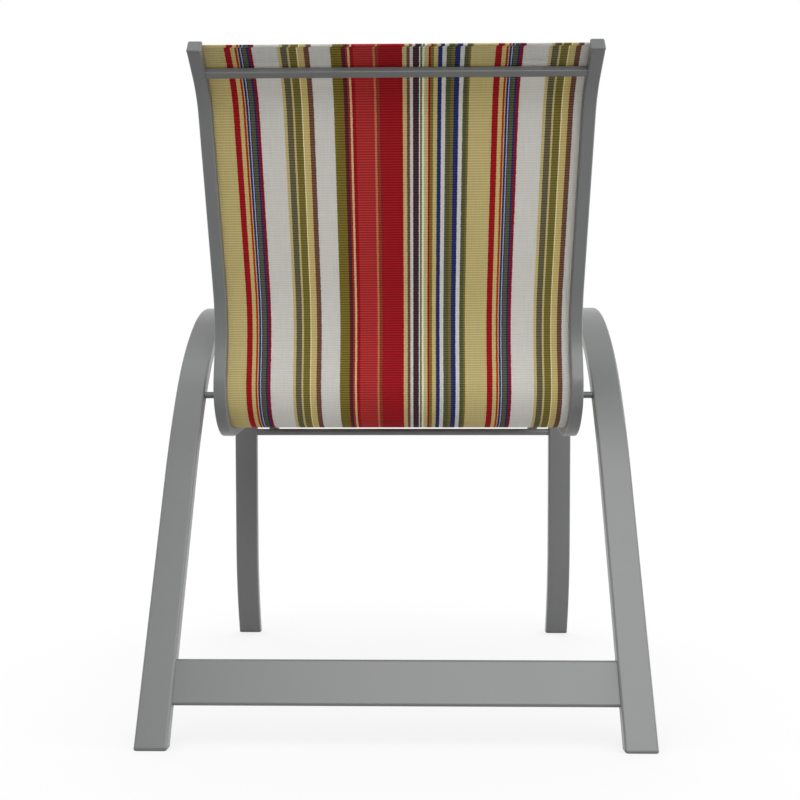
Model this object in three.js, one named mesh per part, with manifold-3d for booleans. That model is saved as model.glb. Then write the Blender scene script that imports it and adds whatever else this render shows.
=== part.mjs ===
// Sling patio chair: two bent side frames, two bent sling rails bolted inside them, and one striped
// sling stretched from rail to rail as seat and back.
// Millimetres, +Z up. The sitter faces -Y and the origin is on the floor under the middle of the chair.
import * as THREE from 'three';
import { mergeVertices } from 'three/addons/utils/BufferGeometryUtils.js';
import Module from 'manifold-3d';

const wasm = await Module();
wasm.setup();

// Driving dimensions. Forward distances are from the heel of the rear legs, and leans are in degrees
// from vertical.
const overallWidth = 610.8;
const armHeight = 571.2;
const armRun = 106;
const rearLegLean = 22.6;
const frontLegLean = 4.55;
const tubeWidth = 39.4;
const tubeThickness = 16;
const tubeWall = 1.6;
const tubeCorner = 2.8;
const railWidth = 17.2;
const jointGap = 13.5;
const seatCornerForward = 181.9;
const seatCornerHeight = 368.3;
const seatRise = 8.9;
const seatOverhang = 66;
const backLean = 24.6;
const fitGap = 0.3;
const cutOverrun = 2;
const facetSag = 0.35;

const radians = THREE.MathUtils.degToRad;
const legInnerFace = overallWidth / 2 - tubeWidth;
const legCentre = overallWidth / 2 - tubeWidth / 2;
const railOuterFace = legInnerFace - jointGap;
const railInnerFace = railOuterFace - railWidth;
const sides = [{ name: 'left', sign: 1 }, { name: 'right', sign: -1 }];

// Materials, one for each finish
const frameGrey = 0x8b8d8c;
const capGrey = 0x7d7f7e;
const spacerGrey = 0x565857;
const zincGrey = 0xb9bbbd;
const clothCream = 0xb9b5ab;
const splineWhite = 0xd8d8d4;

function finish(colour, roughness, metalness) {
  return new THREE.MeshStandardMaterial({ color: colour, roughness, metalness });
}

function piece(name, geometry, material) {
  const mesh = new THREE.Mesh(geometry, material);
  mesh.name = name;
  return mesh;
}

// A route is the line that a bent bar follows in the side plane. Each station holds its point, its
// tangent and the normal that the section's second axis follows. The heading turns from +Z to forward.
function station(forward, height, heading) {
  return {
    point: new THREE.Vector3(0, -forward, height),
    tangent: new THREE.Vector3(0, -Math.sin(heading), Math.cos(heading)),
    normal: new THREE.Vector3(0, Math.cos(heading), Math.sin(heading)),
    forward,
    height,
    heading,
  };
}

function runStraight(route, length) {
  const from = route[route.length - 1];
  const forward = from.forward + length * Math.sin(from.heading);
  const height = from.height + length * Math.cos(from.heading);
  route.push(station(forward, height, from.heading));
}

function runBend(route, radius, toHeading) {
  const from = route[route.length - 1];
  const turn = toHeading - from.heading;
  const facetTurn = 2 * Math.acos(1 - facetSag / radius);
  const steps = Math.max(1, Math.ceil(Math.abs(turn) / facetTurn));
  const side = Math.sign(turn);
  for (let step = 1; step <= steps; step += 1) {
    const heading = from.heading + (turn * step) / steps;
    const forward = from.forward + side * radius * (Math.cos(from.heading) - Math.cos(heading));
    const height = from.height + side * radius * (Math.sin(heading) - Math.sin(from.heading));
    route.push(station(forward, height, heading));
  }
}

// A bar bent round the corners of an outline, with a radius at each corner between its two ends
function routeThrough(corners, headings, radii) {
  const route = [station(corners[0].x, corners[0].y, headings[0])];
  let used = 0;
  for (let leg = 0; leg < headings.length; leg += 1) {
    const length = corners[leg].distanceTo(corners[leg + 1]);
    const bends = leg < radii.length;
    const turn = bends ? Math.abs(headings[leg + 1] - headings[leg]) : 0;
    const tangent = bends ? radii[leg] * Math.tan(turn / 2) : 0;
    runStraight(route, length - used - tangent);
    if (bends) {
      runBend(route, radii[leg], headings[leg + 1]);
    }
    used = tangent;
  }
  return route;
}

// The station at a share of the way from one station to the next, on the facet between them
function between(from, to, share) {
  return {
    point: from.point.clone().lerp(to.point, share),
    tangent: from.tangent.clone().lerp(to.tangent, share).normalize(),
    normal: from.normal.clone().lerp(to.normal, share),
  };
}

// The same bar with a length cut off each end
function trimmed(route, fromStart, fromEnd) {
  const cutStart = (stations, length) => {
    let left = length;
    let index = 0;
    while (left > stations[index].point.distanceTo(stations[index + 1].point)) {
      left -= stations[index].point.distanceTo(stations[index + 1].point);
      index += 1;
    }
    const reach = stations[index].point.distanceTo(stations[index + 1].point);
    return [between(stations[index], stations[index + 1], left / reach), ...stations.slice(index + 1)];
  };
  const opened = cutStart(route, fromStart);
  return cutStart(opened.reverse(), fromEnd).reverse();
}

// The station where a bar passes a height, seen from the end that the route starts at
function atHeight(route, height) {
  for (let index = 0; index < route.length - 1; index += 1) {
    const low = route[index].point.z;
    const high = route[index + 1].point.z;
    if ((low - height) * (high - height) <= 0 && low !== high) {
      return between(route[index], route[index + 1], (height - low) / (high - low));
    }
  }
  throw new Error('no part of the bar is at that height');
}

// The stations of the first bar where the second crosses it in the side view
function crossings(first, second) {
  const found = [];
  for (let i = 0; i < first.length - 1; i += 1) {
    for (let j = 0; j < second.length - 1; j += 1) {
      const a = first[i].point;
      const b = second[j].point;
      const along = first[i + 1].point.clone().sub(a);
      const across = second[j + 1].point.clone().sub(b);
      const apart = b.clone().sub(a);
      const scale = along.y * across.z - along.z * across.y;
      const share = (apart.y * across.z - apart.z * across.y) / scale;
      const other = (apart.y * along.z - apart.z * along.y) / scale;
      if (scale !== 0 && share >= 0 && share <= 1 && other >= 0 && other <= 1) {
        found.push(between(first[i], first[i + 1], share));
      }
    }
  }
  return found;
}

// The station moved back along its bar
function movedBack(at, length) {
  return { ...at, point: at.point.clone().addScaledVector(at.tangent, -length) };
}

// The station moved along its bar to a height and cut level there
function levelCut(at, height) {
  const slide = (height - at.point.z) / at.tangent.z;
  const point = at.point.clone().addScaledVector(at.tangent, slide);
  const normal = at.normal.clone().addScaledVector(at.tangent, -at.normal.z / at.tangent.z);
  return { point, tangent: at.tangent, normal };
}

// The route as a curve whose extrusion has one ring at each station, with x across the chair
class BentRoute extends THREE.Curve {
  constructor(stations) {
    super();
    this.stations = stations;
  }

  getPoint(share) {
    const reach = share * (this.stations.length - 1);
    const index = Math.min(Math.floor(reach), this.stations.length - 2);
    return this.stations[index].point.clone().lerp(this.stations[index + 1].point, reach - index);
  }

  getSpacedPoints() {
    return this.stations.map((at) => at.point.clone());
  }

  computeFrenetFrames() {
    return {
      tangents: this.stations.map((at) => at.tangent.clone()),
      normals: this.stations.map(() => new THREE.Vector3(1, 0, 0)),
      binormals: this.stations.map((at) => at.normal.clone()),
    };
  }
}

function sweep(shape, stations) {
  return new THREE.ExtrudeGeometry(shape, {
    steps: stations.length - 1,
    extrudePath: new BentRoute(stations),
  });
}

// Outlines
function arcPoints(x, y, radius, fromDegrees, toDegrees, steps) {
  const points = [];
  for (let step = 0; step <= steps; step += 1) {
    const angle = radians(fromDegrees + ((toDegrees - fromDegrees) * step) / steps);
    points.push(new THREE.Vector2(x + radius * Math.cos(angle), y + radius * Math.sin(angle)));
  }
  return points;
}

function roundedOutline(left, right, bottom, top, corner, steps) {
  return [
    ...arcPoints(right - corner, bottom + corner, corner, -90, 0, steps),
    ...arcPoints(right - corner, top - corner, corner, 0, 90, steps),
    ...arcPoints(left + corner, top - corner, corner, 90, 180, steps),
    ...arcPoints(left + corner, bottom + corner, corner, 180, 270, steps),
  ];
}

function centredOutline(width, height, corner, steps) {
  return roundedOutline(-width / 2, width / 2, -height / 2, height / 2, corner, steps);
}

// Outline points turned over in either axis, still anticlockwise
function turnedOver(points, signX, signY) {
  const turned = points.map(([x, y]) => new THREE.Vector2(signX * x, signY * y));
  return signX * signY > 0 ? turned : turned.reverse();
}

function tubeShape(width, height, wall, corner, steps) {
  const shape = new THREE.Shape(centredOutline(width, height, corner, steps));
  const bore = centredOutline(width - 2 * wall, height - 2 * wall, corner - wall, steps - 1);
  shape.holes.push(new THREE.Path(bore));
  return shape;
}

// Joins and cuts
function toSolid(geometry) {
  const bare = geometry.clone();
  bare.deleteAttribute('normal');
  bare.deleteAttribute('uv');
  const merged = mergeVertices(bare);
  const vertProperties = new Float32Array(merged.attributes.position.array);
  const triVerts = new Uint32Array(merged.index.array);
  return new wasm.Manifold(new wasm.Mesh({ numProp: 3, vertProperties, triVerts }));
}

function fromSolid(solid) {
  const mesh = solid.getMesh();
  const geometry = new THREE.BufferGeometry();
  geometry.setAttribute('position', new THREE.BufferAttribute(new Float32Array(mesh.vertProperties), 3));
  geometry.setIndex(new THREE.BufferAttribute(new Uint32Array(mesh.triVerts), 1));
  const faceted = geometry.toNonIndexed();
  faceted.computeVertexNormals();
  return faceted;
}

function cut(geometry, tools) {
  const cutters = tools.map(toSolid);
  return fromSolid(cutters.reduce((solid, cutter) => solid.subtract(cutter), toSolid(geometry)));
}

function join(geometries) {
  const [first, ...rest] = geometries.map(toSolid);
  return fromSolid(rest.reduce((solid, other) => solid.add(other), first));
}

// A round bar along X from one face to another, round a point of the side plane
function crossBar(radius, fromX, toX, at, segments) {
  const bar = new THREE.CylinderGeometry(radius, radius, Math.abs(toX - fromX), segments);
  bar.rotateZ(Math.PI / 2);
  bar.translate((fromX + toX) / 2, at.y, at.z);
  return bar;
}

// A solid turned about an axis along X, its profile given as (distance from startX, radius)
function crossTurned(profile, startX, sign, at, segments) {
  const points = profile.map(([reach, radius]) => new THREE.Vector2(radius, reach));
  const turned = new THREE.LatheGeometry(points, segments);
  turned.rotateZ(sign > 0 ? -Math.PI / 2 : Math.PI / 2);
  turned.translate(startX, at.y, at.z);
  return turned;
}

// A bar along X whose section has its first axis along the normal and its second along the bar it meets
function crossSection(shape, length, middleX, at, offset) {
  const bar = new THREE.ExtrudeGeometry(shape, { depth: length, bevelEnabled: false });
  bar.translate(0, 0, middleX - length / 2);
  const across = new THREE.Vector3(1, 0, 0);
  const along = new THREE.Vector3().crossVectors(across, at.normal).normalize();
  const normal = new THREE.Vector3().crossVectors(along, across);
  bar.applyMatrix4(new THREE.Matrix4().makeBasis(normal, along, across));
  bar.translate(0, at.point.y + normal.y * offset, at.point.z + normal.z * offset);
  return bar;
}

// Side frames: one flat tube each, bent from the rear foot over the arm to the front foot
const archLowRadius = 782;
const archMiddleRadius = 332;
const archTopRadius = 224;
const archLowLean = 31.9;
const archMiddleLean = 55.9;
const levelLean = 90;
const armFrontRadius = 102;
const footSweepRadius = 525;
const footSweepHeight = 172;
const footStraight = 24;
const glideFlange = 3.2;

function frameRoute() {
  const rearHeading = radians(rearLegLean);
  const frontHeading = Math.PI - radians(frontLegLean);
  const armCentre = armHeight - tubeThickness / 2;
  const archBends = [
    { radius: archLowRadius, lean: radians(archLowLean) },
    { radius: archMiddleRadius, lean: radians(archMiddleLean) },
    { radius: archTopRadius, lean: radians(levelLean) },
  ];
  let archRise = 0;
  let lean = rearHeading;
  archBends.forEach((bend) => {
    archRise += bend.radius * (Math.sin(bend.lean) - Math.sin(lean));
    lean = bend.lean;
  });
  const route = [station(tubeThickness / 2 / Math.cos(rearHeading), 0, rearHeading)];
  runStraight(route, (armCentre - archRise) / Math.cos(rearHeading));
  archBends.forEach((bend) => runBend(route, bend.radius, bend.lean));
  runStraight(route, armRun);
  runBend(route, armFrontRadius, frontHeading);
  const legTop = route[route.length - 1].height;
  runStraight(route, (legTop - footSweepHeight) / -Math.cos(frontHeading));
  const sweepSine = Math.sin(frontHeading) + (footSweepHeight - footStraight) / footSweepRadius;
  const footHeading = Math.PI - Math.asin(sweepSine);
  runBend(route, footSweepRadius, footHeading);
  runStraight(route, footStraight / -Math.cos(footHeading));
  const tubeEnd = glideFlange + fitGap;
  route[0] = levelCut(route[0], tubeEnd);
  route[route.length - 1] = levelCut(route[route.length - 1], tubeEnd);
  return route;
}

const legRoute = frameRoute();

// Joints: the rails are bolted to the side frames where the two bars cross in the side view, the rear
// joint a little higher on the rail
const rearJointRise = 2;
const boltRadius = 2.4;
const boltHoleRadius = boltRadius + fitGap;
const boltHeadRadius = 4.25;
const boltHeadHeight = 5;
const boltSocketRadius = 2.3;
const boltSocketDepth = 2.6;
const accessHoleRadius = 5;
const holeFacets = 16;

function sideFrame(sign, joints) {
  const tube = sweep(tubeShape(tubeWidth, tubeThickness, tubeWall, tubeCorner, 3), legRoute);
  tube.translate(sign * legCentre, 0, 0);
  const innerFace = sign * (legInnerFace - cutOverrun);
  const insideTube = sign * (legInnerFace + tubeWall + cutOverrun);
  const insideOuterWall = sign * (overallWidth / 2 - tubeWall - cutOverrun);
  const outerFace = sign * (overallWidth / 2 + cutOverrun);
  const holes = joints.flatMap((at) => [
    crossBar(boltHoleRadius, innerFace, insideTube, at.point, holeFacets),
    crossBar(accessHoleRadius, insideOuterWall, outerFace, at.point, holeFacets),
  ]);
  return cut(tube, holes);
}

// Foot glides: a grey moulded shoe under each tube end, held by a stub inside the tube
const glideEdge = 0.8;
const glideStub = 14;

function footGlide(sign, end, inward) {
  const floorCut = levelCut(end, 0);
  const shoeDepth = tubeThickness * floorCut.normal.length();
  const outline = centredOutline(tubeWidth, shoeDepth, tubeCorner, 3);
  const shoe = new THREE.ExtrudeGeometry(new THREE.Shape(outline), {
    depth: glideFlange - 2 * glideEdge,
    bevelThickness: glideEdge,
    bevelSize: glideEdge,
    bevelOffset: -glideEdge,
    bevelSegments: 2,
  });
  const middle = levelCut(end, glideFlange / 2);
  shoe.translate(0, middle.point.y, glideEdge);
  const boreWidth = tubeWidth - 2 * tubeWall - 2 * fitGap;
  const boreDepth = tubeThickness - 2 * tubeWall - 2 * fitGap;
  const stubShape = new THREE.Shape(centredOutline(boreWidth, boreDepth, tubeCorner - tubeWall, 1));
  const stubTop = levelCut(end, glideFlange + glideStub);
  const stub = sweep(stubShape, inward ? [middle, stubTop] : [stubTop, middle]);
  const glide = join([shoe, stub]);
  glide.translate(sign * legCentre, 0, 0);
  return glide;
}

// Sling rails: a hollow extrusion with a keyhole channel down its inner face. The sling line is the
// middle of the slot, nearer to the face that the sitter sees.
const railBehindSlot = 12.7;
const railAheadOfSlot = 6.4;
const railWall = 1.6;
const railCorner = 2.2;
const slotWidth = 2.4;
const channelRadius = 3.9;
const channelInset = 5.7;
const channelWall = 1.2;
const lowerBackLean = 8;
const lowerBackLength = 160.4;
const backLength = 305;
const flareLean = 58.4;
const flareLength = 68.7;
const flareRadius = 100;
const lumbarRadius = 177;
const seatCornerRadius = 58;
const noseRadius = 50;
const railEndHeight = 377.5;

const frontLegAtSeat = atHeight([...legRoute].reverse(), railEndHeight);
const noseForward = seatOverhang - frontLegAtSeat.point.y;

function railRoute() {
  const toward = (from, heading, length) =>
    new THREE.Vector2(from.x + length * Math.sin(heading), from.y + length * Math.cos(heading));
  const flareHeading = Math.PI - radians(flareLean);
  const backHeading = Math.PI - radians(backLean);
  const lowerHeading = Math.PI + radians(lowerBackLean);
  const seatHeading = radians(90 - seatRise);
  const seatCorner = new THREE.Vector2(seatCornerForward, seatCornerHeight);
  const lumbar = toward(seatCorner, lowerHeading, -lowerBackLength);
  const shoulder = toward(lumbar, backHeading, -backLength);
  const top = toward(shoulder, flareHeading, -flareLength);
  const seatLength = (noseForward - seatCornerForward) / Math.sin(seatHeading);
  const nose = toward(seatCorner, seatHeading, seatLength);
  const bottom = new THREE.Vector2(nose.x, railEndHeight);
  return routeThrough(
    [top, shoulder, lumbar, seatCorner, nose, bottom],
    [flareHeading, backHeading, lowerHeading, seatHeading, Math.PI],
    [flareRadius, lumbarRadius, seatCornerRadius, noseRadius],
  );
}

const slingRoute = railRoute();

const railBody = roundedOutline(
  railInnerFace,
  railOuterFace,
  -railBehindSlot,
  railAheadOfSlot,
  railCorner,
  2,
);

const channelLine = railInnerFace + channelInset;
const chamberInner = channelLine + channelRadius + channelWall;
const chamberOuter = railOuterFace - railWall;
const chamberBack = railWall - railBehindSlot;
const chamberFront = railAheadOfSlot - railWall;
const pocketFront = -channelRadius - channelWall;

function railShape(sign) {
  const mouth = THREE.MathUtils.radToDeg(Math.asin(slotWidth / 2 / channelRadius));
  const keyhole = [
    new THREE.Vector2(railInnerFace, slotWidth / 2),
    ...arcPoints(channelLine, 0, channelRadius, 180 - mouth, mouth - 180, 7),
    new THREE.Vector2(railInnerFace, -slotWidth / 2),
  ];
  const lastCorner = (railBody.length * 3) / 4;
  const outline = [...railBody.slice(0, lastCorner), ...keyhole, ...railBody.slice(lastCorner)];
  const shape = new THREE.Shape(turnedOver(outline, sign, 1));
  const chamber = [
    [railInnerFace + railWall, chamberBack],
    [chamberOuter, chamberBack],
    [chamberOuter, chamberFront],
    [chamberInner, chamberFront],
    [chamberInner, pocketFront],
    [railInnerFace + railWall, pocketFront],
  ];
  shape.holes.push(new THREE.Path(turnedOver(chamber, sign, 1)));
  return shape;
}

// Top brace: a small square tube between the rails, just behind the sling, held by a countersunk screw
// through each rail into a plug in its end
const braceSize = 9.5;
const braceWall = 1.2;
const braceCorner = 1.4;
const braceDrop = 34.8;
const braceOffset = -7;
const bracePlugLength = 18;
const bracePlugCornerShare = 0.08;
const screwRadius = 1.5;
const screwHoleRadius = screwRadius + fitGap;
const screwHeadRadius = 3.2;
const screwHeadHeight = 1.4;
const screwReach = 12;

const braceAt = trimmed(slingRoute, braceDrop, 0)[0];
const braceAxis = braceAt.point.clone().addScaledVector(braceAt.normal, braceOffset);

function topBrace() {
  const shape = tubeShape(braceSize, braceSize, braceWall, braceCorner, 3);
  return crossSection(shape, 2 * (railInnerFace - fitGap), 0, braceAt, braceOffset);
}

function bracePlug(sign) {
  const size = braceSize - 2 * (braceWall + fitGap);
  const shape = new THREE.Shape(centredOutline(size, size, size * bracePlugCornerShare, 1));
  const middle = sign * (railInnerFace - fitGap - bracePlugLength / 2);
  const plug = crossSection(shape, bracePlugLength, middle, braceAt, braceOffset);
  const boreStart = sign * railInnerFace;
  const boreEnd = sign * (railInnerFace - screwReach - fitGap - cutOverrun);
  return cut(plug, [crossBar(screwHoleRadius, boreStart, boreEnd, braceAxis, holeFacets)]);
}

function braceScrew(sign) {
  const length = railWidth + screwReach;
  const profile = [
    [0, 0],
    [0, screwHeadRadius - fitGap],
    [screwHeadHeight, screwRadius],
    [length - screwRadius, screwRadius],
    [length, 0],
  ];
  return crossTurned(profile, sign * railOuterFace, -sign, braceAxis, holeFacets);
}

function screwHole(sign) {
  const depth = railWidth + cutOverrun;
  const profile = [
    [-cutOverrun, 0],
    [-cutOverrun, screwHeadRadius],
    [fitGap, screwHeadRadius],
    [screwHeadHeight + fitGap, screwHoleRadius],
    [depth, screwHoleRadius],
    [depth, 0],
  ];
  return crossTurned(profile, sign * railOuterFace, -sign, braceAxis, holeFacets);
}

function slingRail(sign, joints) {
  const outsideRail = sign * (railOuterFace + cutOverrun);
  const insideChamber = sign * (chamberOuter - cutOverrun);
  const holes = joints.map((at) =>
    crossBar(boltHoleRadius, insideChamber, outsideRail, at.point, holeFacets),
  );
  return cut(sweep(railShape(sign), slingRoute), [...holes, screwHole(sign)]);
}

// Rail end caps: a moulded cap over each end of a rail, with a tongue in the bolt chamber
const capThickness = 2;
const capEdge = 0.9;
const capTongue = 9;

function railCap(sign, end, facing) {
  const cap = new THREE.ExtrudeGeometry(new THREE.Shape(turnedOver(railBody, sign, facing)), {
    depth: capThickness - 2 * capEdge,
    bevelThickness: capEdge,
    bevelSize: capEdge,
    bevelOffset: -capEdge,
    bevelSegments: 2,
  });
  cap.translate(0, 0, capEdge + fitGap);
  const tongueOutline = [
    [chamberInner + fitGap, chamberBack + fitGap],
    [chamberOuter - fitGap, chamberBack + fitGap],
    [chamberOuter - fitGap, chamberFront - fitGap],
    [chamberInner + fitGap, chamberFront - fitGap],
  ];
  const tongueShape = new THREE.Shape(turnedOver(tongueOutline, sign, facing));
  const tongue = new THREE.ExtrudeGeometry(tongueShape, {
    depth: capTongue + fitGap + capThickness / 2,
    bevelEnabled: false,
  });
  tongue.translate(0, 0, -capTongue);
  const joined = join([cap, tongue]);
  const across = new THREE.Vector3(1, 0, 0);
  const normal = end.normal.clone().multiplyScalar(facing);
  const outward = end.tangent.clone().multiplyScalar(facing);
  joined.applyMatrix4(new THREE.Matrix4().makeBasis(across, normal, outward));
  joined.translate(end.point.x, end.point.y, end.point.z);
  return joined;
}

// Sling: one length of woven cloth, with a sewn sleeve down each edge that a spline locks in its rail
const clothThickness = 1.2;
const sleeveRadius = 3.3;
const sleeveBoreRadius = 2.5;
const splineRadius = 2.1;
const sleeveSteps = 7;
const slingTopInset = 0.1;
const slingFrontInset = 10.5;
const splineInset = 4;

const slingStations = trimmed(slingRoute, slingTopInset, slingFrontInset);

function slingShape() {
  const seam = THREE.MathUtils.radToDeg(Math.asin(clothThickness / 2 / sleeveRadius));
  const outline = [
    ...arcPoints(channelLine, 0, sleeveRadius, seam - 180, 180 - seam, sleeveSteps),
    ...arcPoints(-channelLine, 0, sleeveRadius, seam, 360 - seam, sleeveSteps),
  ];
  const shape = new THREE.Shape(outline);
  sides.forEach(({ sign }) => {
    const bore = arcPoints(sign * channelLine, 0, sleeveBoreRadius, 0, 360, sleeveSteps + 1);
    shape.holes.push(new THREE.Path(bore.slice(0, -1)));
  });
  return shape;
}

function slingSpline(sign) {
  const rod = arcPoints(sign * channelLine, 0, splineRadius, 0, 360, sleeveSteps + 1);
  return sweep(new THREE.Shape(rod.slice(0, -1)), trimmed(slingRoute, splineInset, slingFrontInset));
}

// Stretchers: a round bar between the front legs and a flat oval tube between the rear legs
const frontStretcherHeight = 374.4;
const frontStretcherRadius = 6;
const frontStretcherWall = 1.2;
const rearStretcherHeight = 70.8;
const rearStretcherWidth = 54.2;
const rearStretcherThickness = 8;
const rearStretcherWall = 1.5;
const rearStretcherCornerShare = 0.42;
const stretcherLength = 2 * (legInnerFace - fitGap);

function frontStretcher() {
  const at = atHeight([...legRoute].reverse(), frontStretcherHeight);
  const size = 2 * frontStretcherRadius;
  const shape = tubeShape(size, size, frontStretcherWall, frontStretcherRadius, 5);
  return crossSection(shape, stretcherLength, 0, at, 0);
}

function rearStretcher() {
  const at = atHeight(legRoute, rearStretcherHeight);
  const corner = rearStretcherThickness * rearStretcherCornerShare;
  const shape = tubeShape(rearStretcherThickness, rearStretcherWidth, rearStretcherWall, corner, 4);
  return crossSection(shape, stretcherLength, 0, at, 0);
}

// Joint hardware: a spacer sleeve, a socket head bolt, a square nut in the rail's chamber and a plug
// that closes the access hole, at each of the four joints
const spacerRadius = 4.5;
const nutSize = 8;
const nutThickness = 4;
const nutCornerShare = 0.08;
const plugRadius = accessHoleRadius - fitGap;
const plugBarrelRadius = 4;
const plugBarrelLength = 4;
const plugWall = 1;

function jointSpacer(sign, at) {
  const start = sign * (railOuterFace + fitGap);
  const end = sign * (legInnerFace - fitGap);
  const sleeve = crossBar(spacerRadius, start, end, at.point, holeFacets);
  const beyond = sign * cutOverrun;
  const bore = crossBar(boltHoleRadius, start - beyond, end + beyond, at.point, holeFacets);
  return cut(sleeve, [bore]);
}

function jointBolt(sign, at) {
  const seat = legInnerFace + tubeWall + fitGap;
  const tip = chamberInner + fitGap;
  const length = seat - tip;
  const profile = [
    [-boltHeadHeight, 0],
    [-boltHeadHeight, boltHeadRadius],
    [0, boltHeadRadius],
    [0, boltRadius],
    [length, boltRadius],
    [length, 0],
  ];
  const body = crossTurned(profile, sign * seat, -sign, at.point, holeFacets);
  const socketStart = sign * (seat + boltHeadHeight - boltSocketDepth);
  const socketEnd = sign * (seat + boltHeadHeight + cutOverrun);
  return cut(body, [crossBar(boltSocketRadius, socketStart, socketEnd, at.point, 6)]);
}

function railNut(sign, at) {
  const middle = sign * (chamberOuter - fitGap - nutThickness / 2);
  const outline = new THREE.Shape(centredOutline(nutSize, nutSize, nutSize * nutCornerShare, 1));
  const block = crossSection(outline, nutThickness, middle, at, 0);
  const reach = sign * (nutThickness / 2 + cutOverrun);
  return cut(block, [crossBar(boltHoleRadius, middle - reach, middle + reach, at.point, holeFacets)]);
}

function holePlug(sign, at) {
  const profile = [
    [0, 0],
    [0, plugRadius],
    [tubeWall + fitGap, plugRadius],
    [tubeWall + fitGap, plugBarrelRadius],
    [tubeWall + fitGap + plugBarrelLength, plugBarrelRadius],
    [tubeWall + fitGap + plugBarrelLength, plugBarrelRadius - plugWall],
    [tubeWall, plugBarrelRadius - plugWall],
    [tubeWall, 0],
  ];
  return crossTurned(profile, sign * overallWidth / 2, -sign, at.point, holeFacets);
}

// Assembly
function buildChair() {
  const chair = new THREE.Group();
  const paint = finish(frameGrey, 0.45, 0.3);
  const moulded = finish(capGrey, 0.6, 0);
  const dark = finish(spacerGrey, 0.6, 0);
  const zinc = finish(zincGrey, 0.4, 0.9);
  const cloth = finish(clothCream, 0.9, 0);
  const nylon = finish(splineWhite, 0.6, 0);

  const crossed = crossings(slingRoute, legRoute);
  const joints = [movedBack(crossed[0], rearJointRise), crossed[crossed.length - 1]];
  const jointNames = ['rear', 'front'];
  const legEnds = [
    { name: 'rear', end: legRoute[0], inward: true },
    { name: 'front', end: legRoute[legRoute.length - 1], inward: false },
  ];
  const railStart = slingRoute[0];
  const railEnd = slingRoute[slingRoute.length - 1];

  sides.forEach(({ name, sign }) => {
    chair.add(piece(`side_frame_${name}`, sideFrame(sign, joints), paint));
    chair.add(piece(`sling_rail_${name}`, slingRail(sign, joints), paint));
    chair.add(piece(`sling_spline_${name}`, slingSpline(sign), nylon));
    chair.add(piece(`rail_cap_top_${name}`, railCap(sign, railStart, -1), moulded));
    chair.add(piece(`rail_cap_front_${name}`, railCap(sign, railEnd, 1), moulded));
    legEnds.forEach((leg) => {
      chair.add(piece(`glide_${leg.name}_${name}`, footGlide(sign, leg.end, leg.inward), moulded));
    });
    chair.add(piece(`brace_plug_${name}`, bracePlug(sign), zinc));
    chair.add(piece(`brace_screw_${name}`, braceScrew(sign), zinc));
    joints.forEach((at, index) => {
      const place = `${jointNames[index]}_${name}`;
      chair.add(piece(`spacer_${place}`, jointSpacer(sign, at), dark));
      chair.add(piece(`joint_bolt_${place}`, jointBolt(sign, at), zinc));
      chair.add(piece(`rail_nut_${place}`, railNut(sign, at), zinc));
      chair.add(piece(`hole_plug_${place}`, holePlug(sign, at), moulded));
    });
  });

  chair.add(piece('sling', sweep(slingShape(), slingStations), cloth));
  chair.add(piece('top_brace', topBrace(), paint));
  chair.add(piece('front_stretcher', frontStretcher(), paint));
  chair.add(piece('rear_stretcher', rearStretcher(), paint));

  const box = new THREE.Box3().setFromObject(chair);
  chair.position.y = -(box.min.y + box.max.y) / 2;
  return chair;
}

export default buildChair();
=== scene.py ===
"""Sling patio chair: the finished look of the chair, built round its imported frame. Metres, +Z up."""
import math

import bmesh
import bpy
from mathutils import Matrix, Vector


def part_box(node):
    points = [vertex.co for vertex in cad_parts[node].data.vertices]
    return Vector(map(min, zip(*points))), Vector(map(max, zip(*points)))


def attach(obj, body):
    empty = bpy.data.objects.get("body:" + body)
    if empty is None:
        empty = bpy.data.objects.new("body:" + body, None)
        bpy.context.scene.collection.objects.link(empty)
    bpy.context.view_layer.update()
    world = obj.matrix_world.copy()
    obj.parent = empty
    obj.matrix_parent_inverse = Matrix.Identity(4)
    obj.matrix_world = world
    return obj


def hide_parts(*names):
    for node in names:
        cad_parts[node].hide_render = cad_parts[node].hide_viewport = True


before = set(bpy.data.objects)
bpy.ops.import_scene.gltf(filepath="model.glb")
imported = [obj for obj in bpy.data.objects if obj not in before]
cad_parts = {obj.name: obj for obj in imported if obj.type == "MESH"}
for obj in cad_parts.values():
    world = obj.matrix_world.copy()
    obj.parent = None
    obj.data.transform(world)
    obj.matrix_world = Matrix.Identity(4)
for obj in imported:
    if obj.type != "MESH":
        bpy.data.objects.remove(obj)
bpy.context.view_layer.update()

# Studio
# A plain pale floor under a white sky. The floor glows white to the camera, and a painted shadow darkens
# that glow where the chair closes it in. The key light stands behind the camera, lights at the sides and the
# front brighten the rest without showing in any gloss, and two lamps stand close on the right.
focal_pixels = 965.685
frame_pixels = 800
sensor_width = 36
camera_place = Vector((-0.02428, 1.4859, 0.3669))
camera_turn = math.radians(0.93764)
camera_tilt = math.radians(2.13892)
white = (1, 1, 1, 1)
sky_strength = 0.03
floor_half = 30
floor_bounce = 0.45
floor_shadow = 0.03
floor_glow = 0.98
# How far the painted shadow under the chair darkens the floor's glow, and how far round it reaches.
floor_shade = 0.22
shade_reach = 1
lit_middle = Vector((0, 0, 0.4))
mirrored_azimuth = 90
# Each far light: its azimuth from straight behind the chair, its height and its spread in degrees, and
# its strength.
far_lights = {
    "key_light": (11, 33, 42, 1.75),
    "upper_light": (-60, 65, 30, 0.52),
    "left_light": (-90, 15, 30, 2.04),
    "right_light": (90, 15, 30, 2.04),
    "front_left_light": (-135, 15, 30, 1.45),
    "front_right_light": (135, 15, 30, 1.38),
    "front_light": (180, 15, 30, 1.25),
}
# Each near lamp: its place and its power.
near_lamps = {"low_lamp": ((-1.7, 0.4, 0.25), 7.7), "high_lamp": ((-1.7, 0.4, 2.2), 19)}
near_size = 1


def place_object(name, data):
    """A new object of the scene, at the origin."""
    placed = bpy.data.objects.new(name, data)
    bpy.context.scene.collection.objects.link(placed)
    return placed


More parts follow.
